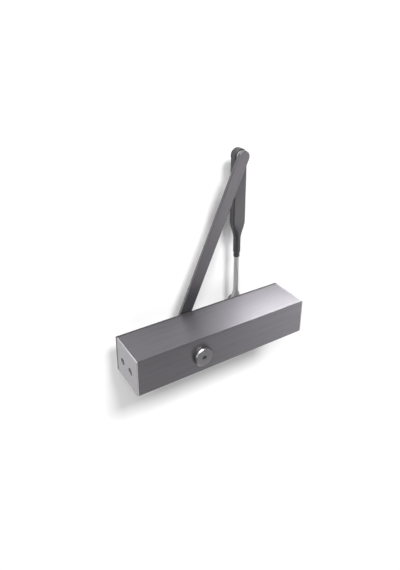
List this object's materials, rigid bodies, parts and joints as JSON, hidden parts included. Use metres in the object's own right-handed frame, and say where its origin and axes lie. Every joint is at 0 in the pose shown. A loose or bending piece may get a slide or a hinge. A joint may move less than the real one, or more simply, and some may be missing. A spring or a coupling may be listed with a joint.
{
  "type": "door closer",
  "caption": "Overhead surface-mounted door closer: a boxed rack-and-pinion body with a capped pinion, a flat main arm, and an adjustable forearm that ends in a fixing shoe.",
  "frame": {"origin": "on the mounting face against the door, under the pinion axis and at mid height of the body", "axes": "+X along the body from the valve end to the spring end, +Y out from the door, +Z along the pinion axis from the arm towards the cap"},
  "size_m": [0.258, 0.2629, 0.1043],
  "materials": {
    "brushed_cover": "satin brushed along the body",
    "end_cap_metal": "satin",
    "cast_housing": "as cast and machined",
    "black_plastic": "matte black",
    "arm_metal": "semi-matt dark metallic grey",
    "plated_rod": "smooth zinc plating",
    "chrome": "polished",
    "steel": "machined",
    "dark_steel": "blackened",
    "spring_steel": "oiled",
    "bronze": "sintered",
    "rubber": "matte",
    "nylon": "natural"
  },
  "bodies": {
    "closer_body": {"housing": "cast_housing", "mounting_plate": "steel", "body_screw_1": "steel", "body_screw_2": "steel", "body_screw_3": "steel", "body_screw_4": "steel", "cover": "brushed_cover", "valve_end_cap": "end_cap_metal", "spring_end_cap": "end_cap_metal", "arm_side_panel": "black_plastic", "panel_screw_1": "dark_steel", "panel_screw_2": "dark_steel", "panel_screw_3": "dark_steel", "upper_bearing": "bronze", "upper_shaft_seal": "rubber", "bearing_nut": "steel", "lower_bearing": "bronze", "lower_shaft_seal": "rubber", "valve_end_plug": "steel", "valve_plug_ring": "rubber", "spring_end_plug": "steel", "spring_plug_ring": "rubber", "main_spring": "spring_steel"},
    "piston": {"piston": "steel", "piston_seal": "rubber", "check_valve_ball": "steel"},
    "spring_plate": {"spring_plate": "steel"},
    "adjusting_screw": {"adjusting_screw": "steel"},
    "closing_valve": {"closing_speed_valve": "dark_steel", "closing_speed_valve_ring": "rubber"},
    "latching_valve": {"latching_speed_valve": "dark_steel", "latching_speed_valve_ring": "rubber"},
    "main_arm": {"pinion_shaft": "steel", "pinion_cap": "chrome", "cap_screw": "dark_steel", "main_arm": "arm_metal", "arm_screw": "steel", "arm_washer": "steel", "elbow_pin": "steel", "elbow_washer": "nylon"},
    "forearm": {"forearm_sleeve": "arm_metal", "elbow_bush": "bronze", "lock_screw": "dark_steel", "rod_guide_bush": "black_plastic"},
    "rod": {"adjusting_rod": "plated_rod", "rod_eye_bush": "bronze"},
    "shoe": {"shoe": "arm_metal", "shoe_pin": "steel", "shoe_washer": "nylon"}
  },
  "joints": [
    {"name": "main_arm_turn", "type": "hinge", "parent": "closer_body", "child": "main_arm", "pos_m": [0, 0.0225, 0], "axis": [0, 0, -1], "range_deg": [0, 170], "stiffness_Nm_per_rad": 3},
    {"name": "piston_slide", "type": "slide", "parent": "closer_body", "child": "piston", "axis": [1, 0, 0], "range_m": [0, 0.027], "deforming": ["main_spring"]},
    {"name": "elbow_turn", "type": "hinge", "parent": "main_arm", "child": "forearm", "pos_m": [0.09968, 0.25286, -0.0431], "axis": [0, 0, 1], "range_deg": [-12, 155]},
    {"name": "rod_slide", "type": "slide", "parent": "forearm", "child": "rod", "axis": [0.0122, -0.9999, 0], "range_m": [-0.02, 0.03]},
    {"name": "shoe_turn", "type": "hinge", "parent": "rod", "child": "shoe", "pos_m": [0.10239, 0.03137, -0.0431], "axis": [0, 0, 1], "range_deg": [-80, 80]},
    {"name": "closing_valve_turn", "type": "hinge", "parent": "closer_body", "child": "closing_valve", "pos_m": [-0.088, 0.0235, 0.011], "axis": [1, 0, 0], "range_deg": [-180, 360]},
    {"name": "latching_valve_turn", "type": "hinge", "parent": "closer_body", "child": "latching_valve", "pos_m": [-0.088, 0.0235, -0.011], "axis": [1, 0, 0], "range_deg": [-180, 360]},
    {"name": "adjusting_screw_turn", "type": "hinge", "parent": "closer_body", "child": "adjusting_screw", "pos_m": [0.15, 0.0245, 0], "axis": [1, 0, 0], "range_deg": [-1080, 1080]},
    {"name": "spring_plate_slide", "type": "slide", "parent": "closer_body", "child": "spring_plate", "axis": [1, 0, 0], "range_m": [-0.006, 0.006], "deforming": ["main_spring"]}
  ],
  "couplings": [
    {"joint": "piston_slide", "follows": "main_arm_turn", "m_per_rad": 0.009},
    {"joint": "adjusting_screw_turn", "follows": "spring_plate_slide", "rad_per_m": 3141.6}
  ]
}
